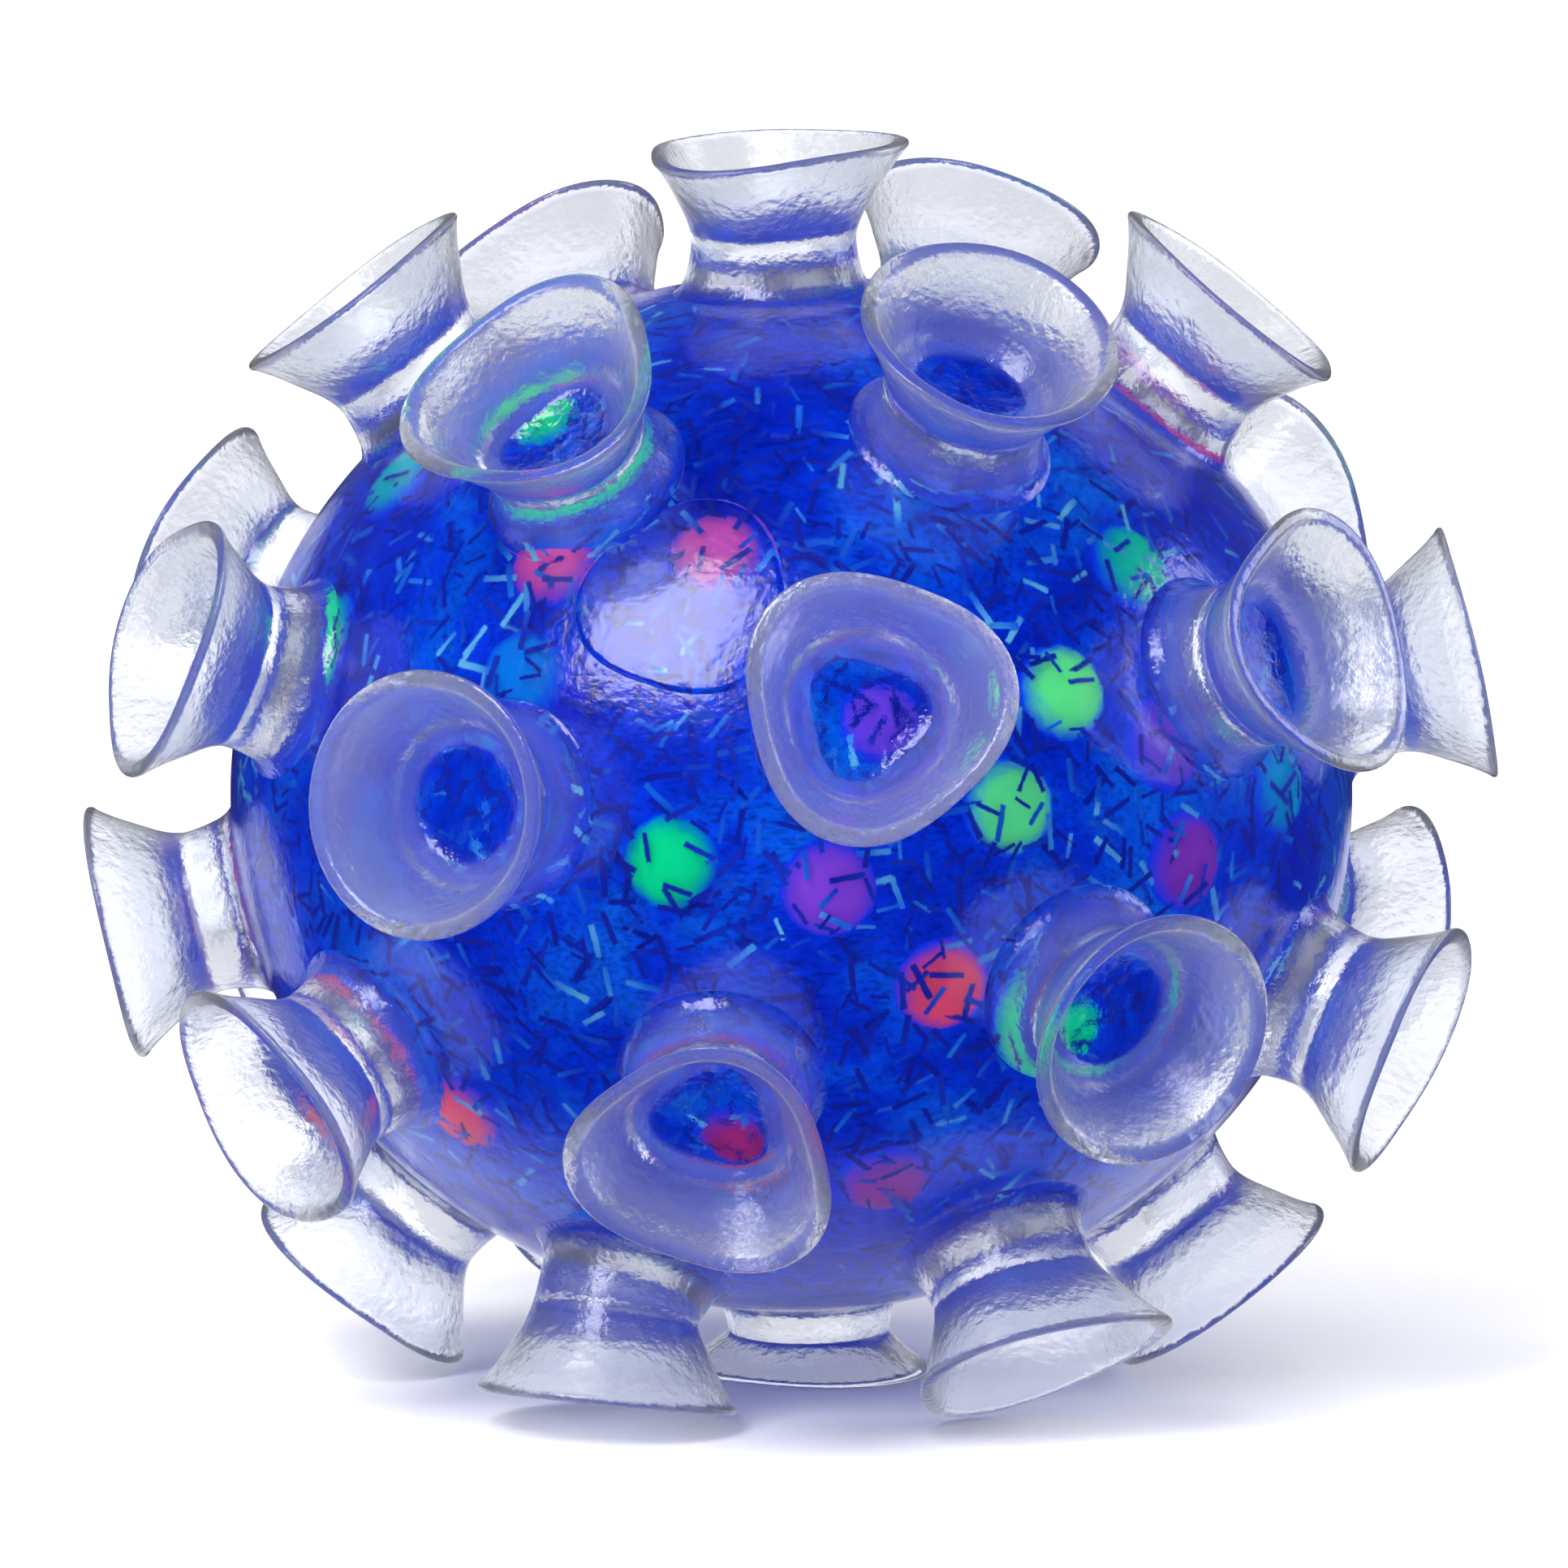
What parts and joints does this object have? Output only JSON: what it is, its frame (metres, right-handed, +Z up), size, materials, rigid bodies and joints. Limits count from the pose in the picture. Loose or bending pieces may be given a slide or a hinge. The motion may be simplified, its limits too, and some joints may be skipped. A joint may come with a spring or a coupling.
{
  "type": "squeeze ball",
  "caption": "Clear rubbery squeeze ball filled with blue glitter gel and bright beads, covered all over with round and three-lobed suction cups that flex on their necks.",
  "frame": {"origin": "the ball's centre", "axes": "+Z up when it stands on its squashed bottom cup; -Y is the front, where the fill plug is"},
  "size_m": [0.0888, 0.089, 0.0785],
  "materials": {
    "skin_tpr": "clear glossy TPR, seen over blue gel",
    "plug_tpr": "clear glossy TPR",
    "cup_tpr": "clear glossy TPR with a slight haze",
    "gel": "wet translucent gel with glitter",
    "bead_green": "bright translucent plastic",
    "bead_lime": "bright translucent plastic",
    "bead_pink": "bright translucent plastic",
    "bead_coral": "bright translucent plastic",
    "bead_magenta": "bright translucent plastic"
  },
  "bodies": {
    "ball": {"skin": "skin_tpr", "fill_plug": "plug_tpr", "lobed_cup_20": "cup_tpr"},
    "gel": {"gel_fill": "gel", "bead_coral_01": "bead_coral", "bead_coral_02": "bead_coral", "bead_coral_03": "bead_coral", "bead_coral_04": "bead_coral", "bead_coral_05": "bead_coral", "bead_green_01": "bead_green", "bead_green_02": "bead_green", "bead_green_03": "bead_green", "bead_green_04": "bead_green", "bead_green_05": "bead_green", "bead_green_06": "bead_green", "bead_green_07": "bead_green", "bead_green_08": "bead_green", "bead_lime_01": "bead_lime", "bead_lime_02": "bead_lime", "bead_lime_03": "bead_lime", "bead_magenta_01": "bead_magenta", "bead_magenta_02": "bead_magenta", "bead_magenta_03": "bead_magenta", "bead_magenta_04": "bead_magenta", "bead_magenta_05": "bead_magenta", "bead_pink_01": "bead_pink", "bead_pink_02": "bead_pink", "bead_pink_03": "bead_pink"},
    "lobed_cup_10_bell": {"lobed_cup_10": "cup_tpr"},
    "lobed_cup_16_bell": {"lobed_cup_16": "cup_tpr"},
    "round_cup_06_bell": {"round_cup_06": "cup_tpr"},
    "round_cup_09_bell": {"round_cup_09": "cup_tpr"},
    "lobed_cup_04_bell": {"lobed_cup_04": "cup_tpr"},
    "lobed_cup_08_bell": {"lobed_cup_08": "cup_tpr"},
    "round_cup_03_bell": {"round_cup_03": "cup_tpr"},
    "lobed_cup_15_bell": {"lobed_cup_15": "cup_tpr"},
    "lobed_cup_19_bell": {"lobed_cup_19": "cup_tpr"},
    "lobed_cup_09_bell": {"lobed_cup_09": "cup_tpr"},
    "lobed_cup_14_bell": {"lobed_cup_14": "cup_tpr"},
    "round_cup_12_bell": {"round_cup_12": "cup_tpr"},
    "lobed_cup_01_bell": {"lobed_cup_01": "cup_tpr"},
    "lobed_cup_03_bell": {"lobed_cup_03": "cup_tpr"},
    "round_cup_02_bell": {"round_cup_02": "cup_tpr"},
    "round_cup_05_bell": {"round_cup_05": "cup_tpr"},
    "round_cup_08_bell": {"round_cup_08": "cup_tpr"},
    "round_cup_11_bell": {"round_cup_11": "cup_tpr"},
    "lobed_cup_18_bell": {"lobed_cup_18": "cup_tpr"},
    "lobed_cup_07_bell": {"lobed_cup_07": "cup_tpr"},
    "lobed_cup_12_bell": {"lobed_cup_12": "cup_tpr"},
    "round_cup_01_bell": {"round_cup_01": "cup_tpr"},
    "lobed_cup_02_bell": {"lobed_cup_02": "cup_tpr"},
    "lobed_cup_06_bell": {"lobed_cup_06": "cup_tpr"},
    "round_cup_10_bell": {"round_cup_10": "cup_tpr"},
    "lobed_cup_13_bell": {"lobed_cup_13": "cup_tpr"},
    "lobed_cup_17_bell": {"lobed_cup_17": "cup_tpr"},
    "round_cup_04_bell": {"round_cup_04": "cup_tpr"},
    "round_cup_07_bell": {"round_cup_07": "cup_tpr"},
    "lobed_cup_05_bell": {"lobed_cup_05": "cup_tpr"},
    "lobed_cup_11_bell": {"lobed_cup_11": "cup_tpr"}
  },
  "joints": [
    {"name": "gel_swirl", "type": "hinge", "parent": "ball", "child": "gel", "pos_m": [0, 0, 0], "axis": [0, 0, 1], "continuous": true},
    {"name": "lobed_cup_10_flex", "type": "hinge", "parent": "ball", "child": "lobed_cup_10_bell", "pos_m": [0.00445, -0.03753, 0.00896], "axis": [-0.993, -0.1178, 0], "range_deg": [-25, 25], "stiffness_Nm_per_rad": 0.2},
    {"name": "lobed_cup_16_flex", "type": "hinge", "parent": "ball", "child": "lobed_cup_16_bell", "pos_m": [-0.00467, -0.03491, -0.01561], "axis": [-0.9912, 0.1327, 0], "range_deg": [-25, 25], "stiffness_Nm_per_rad": 0.2},
    {"name": "round_cup_06_flex", "type": "hinge", "parent": "ball", "child": "round_cup_06_bell", "pos_m": [-0.01947, -0.03361, 0.00327], "axis": [-0.8653, 0.5013, 0], "range_deg": [-25, 25], "stiffness_Nm_per_rad": 0.2},
    {"name": "round_cup_09_flex", "type": "hinge", "parent": "ball", "child": "round_cup_09_bell", "pos_m": [0.01925, -0.03241, -0.00933], "axis": [-0.8597, -0.5108, 0], "range_deg": [-25, 25], "stiffness_Nm_per_rad": 0.2},
    {"name": "lobed_cup_04_flex", "type": "hinge", "parent": "ball", "child": "lobed_cup_04_bell", "pos_m": [-0.0139, -0.02506, 0.02465], "axis": [-0.8745, 0.485, 0], "range_deg": [-25, 25], "stiffness_Nm_per_rad": 0.2},
    {"name": "lobed_cup_08_flex", "type": "hinge", "parent": "ball", "child": "lobed_cup_08_bell", "pos_m": [0.02857, -0.02383, 0.01091], "axis": [-0.6406, -0.7679, 0], "range_deg": [-25, 25], "stiffness_Nm_per_rad": 0.2},
    {"name": "round_cup_03_flex", "type": "hinge", "parent": "ball", "child": "round_cup_03_bell", "pos_m": [0.01077, -0.02338, 0.0273], "axis": [-0.9082, -0.4185, 0], "range_deg": [-25, 25], "stiffness_Nm_per_rad": 0.2},
    {"name": "lobed_cup_15_flex", "type": "hinge", "parent": "ball", "child": "lobed_cup_15_bell", "pos_m": [-0.02869, -0.02094, -0.01502], "axis": [-0.5895, 0.8077, 0], "range_deg": [-25, 25], "stiffness_Nm_per_rad": 0.2},
    {"name": "lobed_cup_19_flex", "type": "hinge", "parent": "ball", "child": "lobed_cup_19_bell", "pos_m": [0.01374, -0.01956, -0.02872], "axis": [-0.8184, -0.5747, 0], "range_deg": [-18, 0], "stiffness_Nm_per_rad": 0.2},
    {"name": "lobed_cup_09_flex", "type": "hinge", "parent": "ball", "child": "lobed_cup_09_bell", "pos_m": [-0.03444, -0.0149, 0.00992], "axis": [-0.397, 0.9178, 0], "range_deg": [-25, 25], "stiffness_Nm_per_rad": 0.2},
    {"name": "lobed_cup_14_flex", "type": "hinge", "parent": "ball", "child": "lobed_cup_14_bell", "pos_m": [0.03434, -0.01278, -0.01246], "axis": [-0.3488, -0.9372, 0], "range_deg": [-25, 25], "stiffness_Nm_per_rad": 0.2},
    {"name": "round_cup_12_flex", "type": "hinge", "parent": "ball", "child": "round_cup_12_bell", "pos_m": [-0.01089, -0.01722, -0.03099], "axis": [-0.8452, 0.5344, 0], "range_deg": [-5, 0], "stiffness_Nm_per_rad": 0.2},
    {"name": "lobed_cup_01_flex", "type": "hinge", "parent": "ball", "child": "lobed_cup_01_bell", "pos_m": [-0.00118, -0.00376, 0.03615], "axis": [-0.9543, 0.2989, 0], "range_deg": [-25, 25], "stiffness_Nm_per_rad": 0.2},
    {"name": "lobed_cup_03_flex", "type": "hinge", "parent": "ball", "child": "lobed_cup_03_bell", "pos_m": [0.02498, -0.00297, 0.02777], "axis": [-0.118, -0.993, 0], "range_deg": [-25, 25], "stiffness_Nm_per_rad": 0.2},
    {"name": "round_cup_02_flex", "type": "hinge", "parent": "ball", "child": "round_cup_02_bell", "pos_m": [-0.02449, -0.00285, 0.02816], "axis": [-0.1158, 0.9933, 0], "range_deg": [-25, 25], "stiffness_Nm_per_rad": 0.2},
    {"name": "round_cup_05_flex", "type": "hinge", "parent": "ball", "child": "round_cup_05_bell", "pos_m": [0.03805, -0.00094, 0.00792], "axis": [-0.0248, -0.9997, 0], "range_deg": [-25, 25], "stiffness_Nm_per_rad": 0.2},
    {"name": "round_cup_08_flex", "type": "hinge", "parent": "ball", "child": "round_cup_08_bell", "pos_m": [-0.03805, 0.00094, -0.00792], "axis": [0.0248, 0.9997, 0], "range_deg": [-25, 25], "stiffness_Nm_per_rad": 0.2},
    {"name": "round_cup_11_flex", "type": "hinge", "parent": "ball", "child": "round_cup_11_bell", "pos_m": [0.02449, 0.00285, -0.02816], "axis": [0.1158, -0.9933, 0], "range_deg": [-24, 0], "stiffness_Nm_per_rad": 0.2},
    {"name": "lobed_cup_18_flex", "type": "hinge", "parent": "ball", "child": "lobed_cup_18_bell", "pos_m": [-0.02498, 0.00297, -0.02777], "axis": [0.118, 0.993, 0], "range_deg": [-24, 0], "stiffness_Nm_per_rad": 0.2},
    {"name": "lobed_cup_07_flex", "type": "hinge", "parent": "ball", "child": "lobed_cup_07_bell", "pos_m": [-0.03434, 0.01278, 0.01246], "axis": [0.3488, 0.9372, 0], "range_deg": [-25, 25], "stiffness_Nm_per_rad": 0.2},
    {"name": "lobed_cup_12_flex", "type": "hinge", "parent": "ball", "child": "lobed_cup_12_bell", "pos_m": [0.03444, 0.0149, -0.00992], "axis": [0.397, -0.9178, 0], "range_deg": [-25, 25], "stiffness_Nm_per_rad": 0.2},
    {"name": "round_cup_01_flex", "type": "hinge", "parent": "ball", "child": "round_cup_01_bell", "pos_m": [0.01089, 0.01722, 0.03099], "axis": [0.8452, -0.5344, 0], "range_deg": [-25, 25], "stiffness_Nm_per_rad": 0.2},
    {"name": "lobed_cup_02_flex", "type": "hinge", "parent": "ball", "child": "lobed_cup_02_bell", "pos_m": [-0.01374, 0.01956, 0.02872], "axis": [0.8184, 0.5747, 0], "range_deg": [-25, 25], "stiffness_Nm_per_rad": 0.2},
    {"name": "lobed_cup_06_flex", "type": "hinge", "parent": "ball", "child": "lobed_cup_06_bell", "pos_m": [0.02869, 0.02094, 0.01502], "axis": [0.5895, -0.8077, 0], "range_deg": [-25, 25], "stiffness_Nm_per_rad": 0.2},
    {"name": "round_cup_10_flex", "type": "hinge", "parent": "ball", "child": "round_cup_10_bell", "pos_m": [-0.01077, 0.02338, -0.0273], "axis": [0.9082, 0.4185, 0], "range_deg": [-24, 0], "stiffness_Nm_per_rad": 0.2},
    {"name": "lobed_cup_13_flex", "type": "hinge", "parent": "ball", "child": "lobed_cup_13_bell", "pos_m": [-0.02857, 0.02383, -0.01091], "axis": [0.6406, 0.7679, 0], "range_deg": [-25, 25], "stiffness_Nm_per_rad": 0.2},
    {"name": "lobed_cup_17_flex", "type": "hinge", "parent": "ball", "child": "lobed_cup_17_bell", "pos_m": [0.0139, 0.02506, -0.02465], "axis": [0.8745, -0.485, 0], "range_deg": [-25, 25], "stiffness_Nm_per_rad": 0.2},
    {"name": "round_cup_04_flex", "type": "hinge", "parent": "ball", "child": "round_cup_04_bell", "pos_m": [-0.01925, 0.03241, 0.00933], "axis": [0.8597, 0.5108, 0], "range_deg": [-25, 25], "stiffness_Nm_per_rad": 0.2},
    {"name": "round_cup_07_flex", "type": "hinge", "parent": "ball", "child": "round_cup_07_bell", "pos_m": [0.01947, 0.03361, -0.00327], "axis": [0.8653, -0.5013, 0], "range_deg": [-25, 25], "stiffness_Nm_per_rad": 0.2},
    {"name": "lobed_cup_05_flex", "type": "hinge", "parent": "ball", "child": "lobed_cup_05_bell", "pos_m": [0.00467, 0.03491, 0.01561], "axis": [0.9912, -0.1327, 0], "range_deg": [-25, 25], "stiffness_Nm_per_rad": 0.2},
    {"name": "lobed_cup_11_flex", "type": "hinge", "parent": "ball", "child": "lobed_cup_11_bell", "pos_m": [-0.00445, 0.03753, -0.00896], "axis": [0.993, 0.1178, 0], "range_deg": [-25, 25], "stiffness_Nm_per_rad": 0.2}
  ]
}
